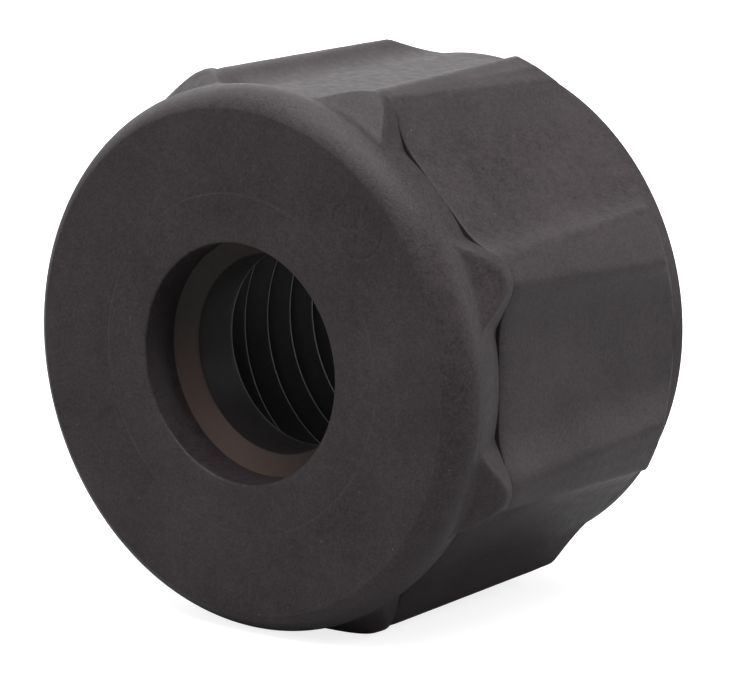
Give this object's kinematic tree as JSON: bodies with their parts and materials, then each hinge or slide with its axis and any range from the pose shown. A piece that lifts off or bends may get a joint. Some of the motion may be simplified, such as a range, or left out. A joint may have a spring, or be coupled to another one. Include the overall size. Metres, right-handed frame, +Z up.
{
  "type": "lobed hand nut",
  "caption": "Round moulded hand nut with a flat bored front collar, a lobed grip, a conical seat, a neck bore and a coarse two-start internal thread open to the rear",
  "frame": {"origin": "centre of the flat front face, on the nut's axis", "axes": "+Y along the nut's axis from the front face to the rear, +Z up with the nut on its side, resting on two of its lobes; a flute faces straight down"},
  "size_m": [0.0454, 0.0325, 0.0454],
  "materials": {
    "collar_plastic": "moulded, fine spark-eroded texture",
    "grip_plastic": "moulded, fine spark-eroded texture",
    "seat_plastic": "moulded, smooth satin",
    "thread_plastic": "moulded, smooth satin",
    "washer_rubber": "moulded rubber"
  },
  "bodies": {
    "root": {"front_collar": "collar_plastic", "seat_ring": "seat_plastic", "sealing_washer": "washer_rubber", "thread_sleeve": "thread_plastic", "grip_sleeve": "grip_plastic"}
  },
  "joints": []
}
